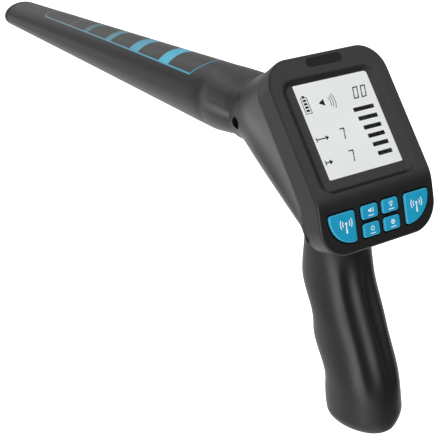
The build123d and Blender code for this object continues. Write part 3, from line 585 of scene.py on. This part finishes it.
def gripRings(inset):
    # leaning stack of rounded sections between the front and back curves; two flutes sink into its back
    s = gripShape
    end = 1 - inset / s["length"]
    sideRound, endRound = ((s[key] - inset) / s["length"] for key in ("roundAcross", "roundAlong"))
    roll = np.sin(np.radians(np.linspace(0, 88, 26)))[1:]
    t = np.concatenate([np.linspace(0, end - sideRound, 150), end - sideRound * (1 - roll)])
    narrow, shallow = (np.sqrt(1 - np.clip((t - end) / share + 1, 0, 1) ** 2)
                       for share in (sideRound, endRound))
    frontZ, backZ = (s["topZ"] + (s[key] - s["topZ"]) * t for key in ("footFront", "footBack"))
    front = np.column_stack([splineThrough(s["frontZ"], s["frontY"], frontZ), frontZ])
    back = np.column_stack([splineThrough(s["backZ"], s["backY"], backZ), backZ])
    depth = np.linalg.norm(front - back, axis=1)
    forward = (front - back) / depth[:, None]
    halfDeep = (depth / 2 - inset) * shallow
    middle = (front + back) / 2
    halfWide = (np.interp(t, s["wideAt"], s["halfWide"]) - inset) * narrow
    turn = np.linspace(0, 2 * np.pi, 200, endpoint=False)
    power = 2 / (s["frontPower"] + (s["backPower"] - s["frontPower"]) * (1 - np.cos(turn)) / 2)
    c, n = (np.sign(way) * np.abs(way) ** power for way in (np.cos(turn), np.sin(turn)))
    x = -halfWide[:, None] * n
    y = middle[:, :1] + halfDeep[:, None] * c * forward[:, :1]
    z = middle[:, 1:] + halfDeep[:, None] * c * forward[:, 1:]
    lean = np.radians(s["lean"])
    reach = (y - s["fluteMiddle"][0]) * np.sin(lean) + (z - s["fluteMiddle"][1]) * np.cos(lean)
    off = np.clip((np.abs(x) - s["fluteX"]) / s["fluteHalf"], -1, 1)
    fade = np.clip(1 - np.abs(reach / s["fluteReach"]) ** s["fluteFade"][0], 0, 1) ** s["fluteFade"][1]
    onBack = np.clip(-s["fluteBack"][0] * np.cos(turn) - s["fluteBack"][1], 0, 1)
    sink = s["fluteDepth"] * (1 + np.cos(np.pi * off)) / 2 * fade * onBack
    y, z = y + sink * forward[:, :1], z + sink * forward[:, 1:]
    return np.stack([x, y, z], axis=-1)


def seamLine(depth):
    # (forward, height) line at a depth below the bent face: straight, a round bend, straight,
    # then far in front of the object
    s = funnelShape
    level, radius = faceLevel - depth, s["bendRound"]
    bend = np.array([-keyDrop + depth * np.tan(keyAngle / 2), level])
    down = np.array([-np.cos(keyAngle), -np.sin(keyAngle)])
    turn = np.linspace(0, keyAngle, 9)
    hub = bend + np.array([radius * np.tan(keyAngle / 2), -radius])
    curve = hub + radius * np.column_stack([-np.sin(turn), np.cos(turn)])
    far = bend + down * s["cutRun"]
    corners = [far, far + np.array(s["cutOut"]), [s["cutTop"], s["cutOut"][1]]]
    line = np.concatenate([[[s["cutTop"], level]], curve, corners])
    return faceCentre[1:] + line[:, :1] * faceUp[1:] + line[:, 1:] * faceOut[1:]


screwShape = {"spots": ((58.0, 138.0), (52.0, 96.0), (22.0, 58.0), (-15.5, -54.0)),
              "post": 4.7, "well": 3.1, "wellFloor": 7.2}
socketShape = {"spot": (82.4, 114.5), "radius": 4.0, "inside": -20.0}
outside, farAway = 60.0, 200.0   # past the housing's side, and past the whole object


def slabAcross(name, low, high):
    return prismAcross(name, [(-200, -200), (600, -200), (600, 400), (-200, 400)], low, high)


def makeHousing():
    s = funnelShape
    shell = carve(solidFromRings("funnelOuter", funnelRings(0, False)),
                  solidFromRings("gripOuter", gripRings(0)), "UNION")
    hollow = carve(solidFromRings("funnelInner", funnelRings(s["wall"], True, mouth=True)),
                   solidFromRings("gripInner", gripRings(gripShape["wall"])), "UNION")
    for spot in screwShape["spots"]:
        carve(hollow, barAcross("post", -outside, outside, screwShape["post"], *spot), "DIFFERENCE")
    carve(shell, hollow, "DIFFERENCE")
    front = prismAcross("front", seamLine(s["seamDepth"]), -s["cutHalf"], s["cutHalf"])
    carve(shell, front, "DIFFERENCE")
    # the left half keeps a tongue inside the wall past the middle, and the right half has its groove
    # each row: name, span to cut away, how the core changes that, and how far the core reaches
    sides = (("housingLeft", (-s["parting"], farAway), "DIFFERENCE", s["tongue"]),
             ("housingRight", (-farAway, s["parting"]), "UNION", s["tongue"] + s["tongueFit"]))
    halves = []
    for name, span, how, reach in sides:
        core = carve(solidFromRings("funnelCore", funnelRings(s["tongueInset"], True)),
                     solidFromRings("gripCore", gripRings(s["tongueInset"])), "UNION")
        carve(core, slabAcross("tongueReach", -farAway, reach), "INTERSECT")
        other = carve(slabAcross("otherSide", *span), core, how)
        half = bpy.data.objects.new(name, shell.data.copy())
        bpy.context.scene.collection.objects.link(half)
        halves.append(carve(half, other, "DIFFERENCE"))
    bpy.data.objects.remove(shell)
    hole = barAcross("socketHole", -outside, socketShape["inside"], socketShape["radius"],
                     *socketShape["spot"])
    carve(halves[0], hole, "DIFFERENCE")
    for spot in screwShape["spots"]:
        well = barAcross("well", screwShape["wellFloor"], outside, screwShape["well"], *spot)
        carve(halves[1], well, "DIFFERENCE")
    for half, node in zip(halves, ("housing_left", "housing_right")):
        dress(half, finishes["shell"], "body", 35.0)
        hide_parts(node)


makeHousing()
print("housing halves made")


# thin printed films

def box(x0, x1, y0, y1):
    return np.array([[(x0, y0), (x1, y0)], [(x0, y1), (x1, y1)]], float)


def wedge(x0, low0, high0, x1, low1, high1):
    # patch between two upright edges
    return np.array([[(x0, high0), (x0, low0)], [(x1, high1), (x1, low1)]], float)


def arc(x, y, inner, outer, start, end, count=17):
    turn = np.radians(np.linspace(start, end, count))
    return np.stack([np.column_stack([x + r * np.cos(turn), y + r * np.sin(turn)]) for r in (inner, outer)])


def disc(x, y, radius, count=9):
    # square grid pressed into a circle
    a, b = np.meshgrid(np.linspace(-1, 1, count), np.linspace(-1, 1, count), indexing="ij")
    points = [x + radius * a * np.sqrt(1 - b * b / 2), y + radius * b * np.sqrt(1 - a * a / 2)]
    return np.stack(points, axis=-1)


def stroke(points, widths):
    # band along a line of points, half its width to each side
    points = np.asarray(points, float)
    ahead = np.gradient(points, axis=0)
    ahead /= np.linalg.norm(ahead, axis=1, keepdims=True)
    aside = np.column_stack([-ahead[:, 1], ahead[:, 0]]) * np.asarray(widths, float).reshape(-1, 1) / 2
    return np.stack([points + aside, points - aside])


def shear(patch, base, slant):
    return np.stack([patch[..., 0] + slant * (patch[..., 1] - base), patch[..., 1]], axis=-1)


def newFilm(name, patches, place, low, high, finish, body):
    # each patch is a grid of flat (a, b) points; place puts it at a height, and edges join its top
    # to its underside
    points, faces, first = [], [], 0
    for patch in patches:
        ring = np.allclose(patch[:, 0], patch[:, -1])
        if ring:
            patch = patch[:, :-1]
        rows, cols = patch.shape[:2]
        count = rows * cols
        for level in (high, low):
            points.append(place(patch[..., 0], patch[..., 1], level).reshape(-1, 3))
        quads = gridQuads(rows, cols, ring, first)
        index = first + np.arange(count).reshape(rows, cols)
        if ring:
            loops = [np.append(index[0], index[0, 0]), np.append(index[-1], index[-1, 0])]
        else:
            loops = [np.concatenate([index[0, :-1], index[:-1, -1], index[-1, :0:-1], index[::-1, 0]])]
        faces += quads.tolist() + (quads[:, ::-1] + count).tolist()
        for loop in loops:
            faces += np.column_stack([loop[:-1], loop[1:], loop[1:] + count, loop[:-1] + count]).tolist()
        first += 2 * count
    piece = newPiece(name, np.concatenate(points), faces)
    dress(piece, finish, body, 30.0, weighted=False)


def onFace(a, b, level):
    return faceCentre + a[..., None] * across + b[..., None] * faceUp + level * faceOut


def onKeys(a, b, level):
    return keyTop + a[..., None] * across + b[..., None] * keyUp + level * keyOut


def onWand(y, x, level):
    # flat plan of the print: along the wand, and across it as a distance from its middle
    return wandPoint(y, np.arcsin(np.clip(x / wandWide(y), -1, 1)), level)


printShape = {
    "headY": 143.6, "headBow": 6.9, "tipY": 384.0, "corner": 7.0, "line": 0.85,
    "headHalf": 16.8, "slope": 0.0298, "slopeFrom": 150.5,
    "stripes": ((180.0, 193.0), (222.8, 235.4), (265.0, 273.4), (302.8, 310.0), (331.4, 335.4)),
    "stripeInset": 0.2, "under": -0.25, "panelLevel": 0.04, "stripeLevel": 0.07, "lineLevel": 0.10,
}


def printHalf(y):
    # half width of the print at a place along the wand, rounded off at its tip end
    s = printShape
    plain = s["headHalf"] - s["slope"] * (y - s["slopeFrom"])
    into = np.clip(1 - (s["tipY"] - y) / s["corner"], 0, 1)
    return plain - s["corner"] * (1 - np.sqrt(np.clip(1 - into ** 2, 0, 1)))


def makePrint():
    s = printShape
    side = np.linspace(-1, 1, 41)
    tipEnd = 0.96 + 0.04 * np.sin(np.linspace(0, np.pi / 2, 14))[1:]
    share = np.concatenate([np.linspace(0, 0.96, 60), tipEnd])
    head = s["headY"] + s["headBow"] * side ** 2
    along = head[None, :] + (s["tipY"] - head)[None, :] * share[:, None]
    panel = np.stack([along, side * printHalf(along)], axis=-1)
    newFilm("printPanel", [panel], onWand, s["under"], s["panelLevel"],
            finishes["printDark"], "body")
    edge = np.concatenate([panel[0, ::-1], panel[1:, 0], panel[-1, 1:], panel[-2::-1, -1]])
    newFilm("printFrame", [stroke(edge, s["line"])], onWand, s["under"], s["lineLevel"],
            finishes["lineBlue"], "body")
    stripes = []
    for first, last in s["stripes"]:
        yy, aa = np.meshgrid(np.linspace(first, last, 6), np.linspace(-1, 1, 33), indexing="ij")
        stripes.append(np.stack([yy, aa * (printHalf(yy) - s["stripeInset"])], axis=-1))
    newFilm("printStripes", stripes, onWand, s["under"], s["stripeLevel"],
            finishes["stripeBlue"], "body")


makePrint()
print("wand print made")


# display: a moulded frame that dips to the pane, the pane, and the lit panel close under it

# left, right, low and high edge of the rings in the face, and their corner
frameEdge, mouthEdge = (-38.2, 37.6, -38.0, 36.9, 9.6), (-28.3, 28.25, -29.65, 29.65, 1.1)
paneEdge, panelEdge = (-28.1, 28.2, -29.6, 29.6, 1.0), (-31.4, 31.4, -32.9, 32.9, 0.5)
stepEdge = (-28.1, 28.2, -29.6, 29.6, 0.9)


def flatRing(edge, level):
    return (*edge, level, level, level, level)


frameShape = {
    # edges and corner of each ring from outside in, and its level on those four sides
    "top": ((*frameEdge, 1.60, 1.60, 1.60, 1.60),
            (-37.5, 34.6, -37.8, 33.7, 8.8, 1.60, 1.60, 1.58, 1.60),
            (-37.1, 33.9, -37.7, 33.3, 8.4, 1.52, 1.50, 0.30, 1.52),
            (-35.8, 32.8, -37.5, 32.3, 7.4, 1.02, 1.20, -0.10, 1.12),
            (-34.8, 31.4, -36.9, 31.3, 6.4, 0.55, 0.76, 0.12, 0.66),
            (-34.3, 30.1, -35.9, 30.4, 5.6, 0.30, 0.36, 0.50, 0.28),
            (-33.7, 29.1, -35.3, 30.0, 4.8, 0.20, 0.10, 0.55, 0.12),
            (*mouthEdge, 0.26, 0.0, 0.15, 0.0)),
    "under": (flatRing(frameEdge, -1.0), flatRing(mouthEdge, -1.0)),
    "pocket": (flatRing(frameEdge, -1.1), flatRing(frameEdge, 6.0)),
    "pane": (flatRing(paneEdge, -0.15), flatRing(paneEdge, -0.02)),
    "panel": (flatRing(panelEdge, -5.6), flatRing(panelEdge, -2.9),
              flatRing(stepEdge, -2.9), flatRing(stepEdge, -0.3)),
}


def roundedRings(rows):
    # rounded rectangles: the middle of each corner plus a quarter circle round it
    # levels blend round the corners
    left, right, low, high, corner, *levels = (np.array(column)[:, None] for column in zip(*rows))
    quarters = [np.linspace(start, start + 90, 9) for start in (0, 90, 180, 270)]
    turn = np.radians(np.concatenate(quarters))[None]
    east, north = np.repeat([1, 0, 0, 1], 9) == 1, np.repeat([1, 1, 0, 0], 9) == 1
    a = np.where(east, right - corner, left + corner) + corner * np.cos(turn)
    b = np.where(north, high - corner, low + corner) + corner * np.sin(turn)
    shares = [np.clip(way, 0, 1) ** 2 for way in (-np.cos(turn), np.cos(turn), -np.sin(turn), np.sin(turn))]
    level = sum(share * height for share, height in zip(shares, levels))
    return faceCentre + a[..., None] * across + b[..., None] * faceUp + level[..., None] * faceOut


def makeDisplay():
    s = frameShape
    frameRing = tubeFromRings("displayFrame", roundedRings(s["top"]), roundedRings(s["under"]))
    dress(frameRing, finishes["shell"], "body", 40.0, weighted=False)
    panes = (("pane", "displayPane", "display_window"), ("panel", "displayPanel", "lcd_panel"))
    for key, name, node in panes:
        piece = solidFromRings(name, roundedRings(s[key]))
        dress(piece, finishes[slotOf[node]], "body", 30.0, weighted=False)
        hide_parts(node)


makeDisplay()
print("display made")


# display segments

displayMarks = {
    "shift": (-1.1, -0.2), "under": -0.34, "level": -0.24,
    # bars of the signal, from the top down
    "barLeft": (9.0, 10.1, 11.2, 11.9, 12.8, 13.9), "barRow": (7.5, 1.6, -4.4, -9.9, -15.6, -21.5),
    "barRight": 24.8, "barHalf": 1.3,
    # numerals: left, foot, width, height and lit bars
    "line": 0.75, "gap": 0.2, "slant": 0.26,
    "numerals": ((12.7, 14.0, 3.9, 7.5, "abcdef"), (18.7, 14.0, 3.9, 7.5, "abcdef"),
                 (-8.1, -8.3, 3.6, 7.2, "abc"), (-8.2, -22.4, 3.9, 7.3, "abc")),
    # battery: sides, ends and knob, and its charge
    "battery": ((-24.8, -24.4, 11.6, 21.8), (-20.4, -20.0, 11.6, 21.8), (-24.4, -20.4, 11.6, 12.0),
                (-24.4, -20.4, 21.4, 21.8), (-23.4, -21.4, 21.8, 22.9)),
    "chargeSide": (-23.6, -21.2), "chargeRow": (12.9, 15.0, 17.1, 19.2), "chargeTall": 1.35,
    # horn and its waves
    "horn": (-12.9, 16.1, 16.7, -9.2, 14.2, 18.5),
    "waveAt": (-9.6, 16.1), "waveReach": (5.0, 6.8, 8.5), "waveHalf": 0.22, "waveTurn": 33,
    # long and short reach arrows: left, right and row
    "arrows": ((-25.0, -15.6, -4.5), (-25.0, -19.6, -18.9)),
}


def sevenSegments(x, y, wide, tall, lit):
    # numeral of seven bars, leaning to the right
    t, g = displayMarks["line"], displayMarks["gap"]
    mid, top, right = y + tall / 2, y + tall, x + wide
    bars = {"a": box(x + g, right - g, top - t, top), "d": box(x + g, right - g, y, y + t),
            "g": box(x + g, right - g, mid - t / 2, mid + t / 2),
            "f": box(x, x + t, mid + g, top - g), "b": box(right - t, right, mid + g, top - g),
            "e": box(x, x + t, y + g, mid - g), "c": box(right - t, right, y + g, mid - g)}
    return [shear(bars[name], y, displayMarks["slant"]) for name in lit]


def reachArrow(left, right, row):
    return [box(left, right - 2.0, row - 0.35, row + 0.35), box(left, left + 0.6, row - 1.5, row + 1.5),
            wedge(right - 2.2, row - 1.5, row + 1.5, right, row - 0.1, row + 0.1)]


def makeDisplayMarks():
    s = displayMarks
    marks = [box(left, s["barRight"], row - s["barHalf"], row + s["barHalf"])
             for left, row in zip(s["barLeft"], s["barRow"])]
    for numeral in s["numerals"]:
        marks += sevenSegments(*numeral)
    marks += [box(*edges) for edges in s["battery"]]
    marks += [box(*s["chargeSide"], row, row + s["chargeTall"]) for row in s["chargeRow"]]
    marks.append(wedge(*s["horn"]))
    for reach in s["waveReach"]:
        inner, outer = reach - s["waveHalf"], reach + s["waveHalf"]
        marks.append(arc(*s["waveAt"], inner, outer, -s["waveTurn"], s["waveTurn"]))
    for arrow in s["arrows"]:
        marks += reachArrow(*arrow)
    shifted = [mark + np.array(s["shift"]) for mark in marks]
    newFilm("displaySegments", shifted, onFace, s["under"], s["level"],
            finishes["segmentBlack"], "body")


makeDisplayMarks()
print("display segments made")


# symbols on the keys

keyMarks = {
    "under": 1.0, "top": 1.34, "leftLarge": (-26.5, -14.6), "rightLarge": (28.0, -14.9),
    "smallX": 7.9, "rows": (-11.7, -22.4), "shift": (0.4, 0.7), "underline": (-1.6, 2.4, -2.5, -2.0),
    "keys": ("sound_button", "lamp_button", "power_button", "settings_button",
             "left_search_button", "right_search_button"),
    "moat": (0.28, 1.15), "moatUnder": -0.3, "moatTop": 0.04,
}


def ray(x, y, turn, inner, outer, widths):
    middle, way = np.array([x, y]), np.array([np.cos(turn), np.sin(turn)])
    return stroke([middle + inner * way, middle + outer * way], widths)


def antennaMark(x, y):
    mast = stroke([(x, y), (x, y - 2.8), (x, y - 5.6)], (0.5, 0.8, 1.3))
    waves = [arc(x, y, r - 0.3, r + 0.3, a - 36, a + 36) for r in (2.6, 4.3) for a in (0, 180)]
    return [disc(x, y, 0.85), mast] + waves


def soundMark(x, y):
    cone = wedge(x - 0.9, y - 0.55, y + 0.55, x + 0.3, y - 1.4, y + 1.4)
    waves = [arc(x + 0.1, y, r - 0.16, r + 0.16, -48, 48) for r in (1.2, 2.0)]
    return [box(x - 1.9, x - 0.9, y - 0.55, y + 0.55), cone] + waves


def lampMark(x, y):
    bulb = y + 0.4
    rays = [ray(x, bulb, turn, 1.5, 2.0, (0.3, 0.3)) for turn in np.radians((20, 90, 160))]
    return [arc(x, bulb, 0.7, 1.15, 0, 360, 33), box(x - 0.45, x + 0.45, y - 1.5, y - 0.9)] + rays


def powerMark(x, y):
    return [arc(x, y, 0.95, 1.4, 125, 415, 33), box(x - 0.22, x + 0.22, y + 0.3, y + 1.8)]


def settingsMark(x, y):
    teeth = [ray(x, y, turn, 1.1, 1.7, (0.6, 0.5)) for turn in np.radians(np.arange(0, 360, 60))]
    return [arc(x, y, 0.55, 1.2, 0, 360, 33)] + teeth


def makeKeyMarks():
    s = keyMarks
    spots = {"left_search_button": antennaMark(*s["leftLarge"]),
             "right_search_button": antennaMark(*s["rightLarge"])}
    small = (("sound_button", soundMark, -1, 0), ("lamp_button", lampMark, 1, 0),
             ("power_button", powerMark, -1, 1), ("settings_button", settingsMark, 1, 1))
    left, right, low, high = s["underline"]
    for name, symbol, hand, row in small:
        x, y = hand * s["smallX"], s["rows"][row]
        underline = box(x + left, x + right, y + low, y + high)
        spots[name] = symbol(x + s["shift"][0], y + s["shift"][1]) + [underline]
    for name, marks in spots.items():
        newFilm(name + "_mark", marks, onKeys, s["under"], s["top"],
                finishes["markWhite"], name)


def makeKeyGaps():
    # dark moat round each key, painted shade of the gap round it: its outline in the keypad, moved out
    # along the outline's normal
    s = keyMarks
    moats = []
    for node in s["keys"]:
        corners = np.array([corner.co for corner in cad[node].data.vertices]) / mm - keyTop
        flat = np.column_stack([corners @ across, corners @ keyUp])[corners @ keyOut > 0]
        loop = flat[convex_hull_2d(flat.tolist())]
        ahead = np.roll(loop, -1, axis=0) - np.roll(loop, 1, axis=0)
        out = np.column_stack([ahead[:, 1], -ahead[:, 0]]) / np.linalg.norm(ahead, axis=1, keepdims=True)
        out *= np.sign(np.sum(out * (loop - loop.mean(axis=0))))
        ring = np.stack([loop + out * s["moat"][0], loop + out * s["moat"][1]])
        moats.append(np.concatenate([ring, ring[:, :1]], axis=1))
    newFilm("keyGapShade", moats, onKeys, s["moatUnder"], s["moatTop"],
            finishes["paintedGapShade"], "body")


makeKeyMarks()
makeKeyGaps()
print("key symbols made")


# the other nodes keep their solid, smooth-shaded where they show

shown = {
    "face_cover": "faceCover", "badge_plate": "badgePlate", "sound_button": "soundKey",
    "lamp_button": "lampKey", "power_button": "powerKey", "settings_button": "settingsKey",
    "left_search_button": "leftSearchKey", "right_search_button": "rightSearchKey",
    "charging_socket": "chargingSocket", "charging_pin": "chargingPin", "housing_screws": "housingScrews",
}
for node, name in shown.items():
    smoothNode(node, name, roundedRings(frameShape["pocket"]) if node == "face_cover" else None)
for node, solid in cad.items():
    solid.data.materials.clear()
    solid.data.materials.append(finishes[slotOf[node]])
print("nodes finished")


# camera, floor and light

studio = {
    "eye": (-0.41973283, -0.47177068, 0.33968699), "right": (0.82216851, -0.56897984, -0.01734587),
    "down": (-0.23710924, -0.31459916, -0.9191336), "ahead": (0.51751149, 0.75979557, -0.3935639),
    "lens": 93.10, "sensor": 36.0, "clip": (0.02, 60.0),
    "floorDrop": 0.20, "floorHalf": 6000.0, "domeRadius": 5900.0, "domeSink": 300.0,
    "roomSpan": (-0.55, -0.05), "roomLevel": (1.22, 0.66),
    "cardWay": (1.0, -0.8, 0.05), "cardSpan": (0.62, 0.80), "cardLevel": 0.12,
    # each lamp: place, target, width and height, watts
    "lamps": {
        "frontBox": ((-0.86, -1.36, 0.15), (0.0, 0.0, 0.02), (0.7, 0.7), 9.2),
        "highBox": ((-0.45, -1.15, 1.40), (0.0, 0.0, 0.13), (1.0, 1.0), 3.5),
        "faceBox": ((0.83, -0.94, 1.10), (0.0, 0.0, 0.10), (1.0, 1.0), 4.2),
        "backBox": ((-0.10, 2.00, 1.40), (0.0, 0.3, 0.12), (1.4, 0.9), 3.4),
        "leftBox": ((-0.94, 2.25, 0.00), (0.0, 0.1, 0.12), (0.5, 0.5), 1.1),
    },
}


def stand(name, data, at, axes):
    # new object at a place, with its own three axes along the given ones
    thing = bpy.data.objects.new(name, data)
    thing.matrix_world = Matrix.Translation(at) @ Matrix(np.column_stack(axes).tolist()).to_4x4()
    bpy.context.scene.collection.objects.link(thing)
    return thing


def makeCamera():
    s = studio
    lens = bpy.data.cameras.new("photoCamera")
    lens.lens = s["lens"]
    lens.sensor_width = s["sensor"]
    lens.clip_start, lens.clip_end = s["clip"]
    axes = (s["right"], -np.array(s["down"]), -np.array(s["ahead"]))
    bpy.context.scene.camera = stand("photoCamera", lens, s["eye"], axes)


def makeDome(paper):
    # half sphere of white paper round the floor, seen only by the camera
    rises, turns = np.radians(np.linspace(0, 89, 12)), np.radians(np.arange(0, 360, 10))
    rise, turn = np.meshgrid(rises, turns, indexing="ij")
    ball = np.stack([np.cos(rise) * np.cos(turn), np.cos(rise) * np.sin(turn), np.sin(rise)], axis=-1)
    points = studio["domeRadius"] * ball - np.array([0, 0, studio["domeSink"]])
    dome = newPiece("dome", points, gridQuads(*rise.shape, wrap=True).tolist())
    dome.data.materials.append(paper)
    dome.visible_diffuse = dome.visible_glossy = dome.visible_shadow = dome.visible_transmission = False
    return dome


def towardLevel(tree, place, way, span, levels):
    # level that changes smoothly with a direction's share of a given way
    share = shareOf(tree, place, np.array(way) / np.linalg.norm(way))
    return mapRange(tree, share, span, levels, "SMOOTHSTEP")


def makeRoom():
    # pale room, lighter below, that darkens towards a black card on the right
    s = studio
    world = bpy.data.worlds.new("studioRoom")
    world.use_nodes = True
    tree = world.node_tree
    place = tree.nodes.new("ShaderNodeTexCoord").outputs["Generated"]
    both = tree.nodes.new("ShaderNodeMath")
    both.operation = "MULTIPLY"
    level = towardLevel(tree, place, (0, 0, 1), s["roomSpan"], s["roomLevel"])
    card = towardLevel(tree, place, s["cardWay"], s["cardSpan"], (1.0, s["cardLevel"]))
    tree.links.new(level, both.inputs[0])
    tree.links.new(card, both.inputs[1])
    tree.links.new(both.outputs["Value"], tree.nodes["Background"].inputs["Strength"])
    tree.nodes["Background"].inputs["Color"].default_value = (1, 1, 1, 1)
    bpy.context.scene.world = world


def makeFloor():
    low, half = cadBox[0][2] / mm - studio["floorDrop"] / mm, studio["floorHalf"]
    corners = np.array([[-half, -half, low], [half, -half, low], [half, half, low], [-half, half, low]])
    floor = newPiece("floor", corners, [range(4)])
    paper, _, shader = newFinish("palePaper")
    shader.inputs["Base Color"].default_value = (0.93, 0.93, 0.93, 1)
    shader.inputs["Roughness"].default_value = 0.9
    shader.inputs["Emission Color"].default_value = (1, 1, 1, 1)
    shader.inputs["Emission Strength"].default_value = 0.9
    floor.data.materials.append(paper)
    floor.visible_diffuse = floor.visible_glossy = False   # white paper that throws no light back up
    makeDome(paper)


def makeLamps():
    for name, (at, target, size, power) in studio["lamps"].items():
        lamp = bpy.data.lights.new(name, "AREA")
        lamp.shape = "RECTANGLE"
        lamp.size, lamp.size_y, lamp.energy = *size, power
        back = np.array(at) - np.array(target)
        back /= np.linalg.norm(back)
        side = np.cross((0, 0, 1.0), back)
        side /= np.linalg.norm(side)
        stand(name, lamp, at, (side, np.cross(back, side), back))


makeCamera()
makeFloor()
makeRoom()
makeLamps()
bpy.context.scene.view_settings.view_transform = "Standard"
print("studio made")
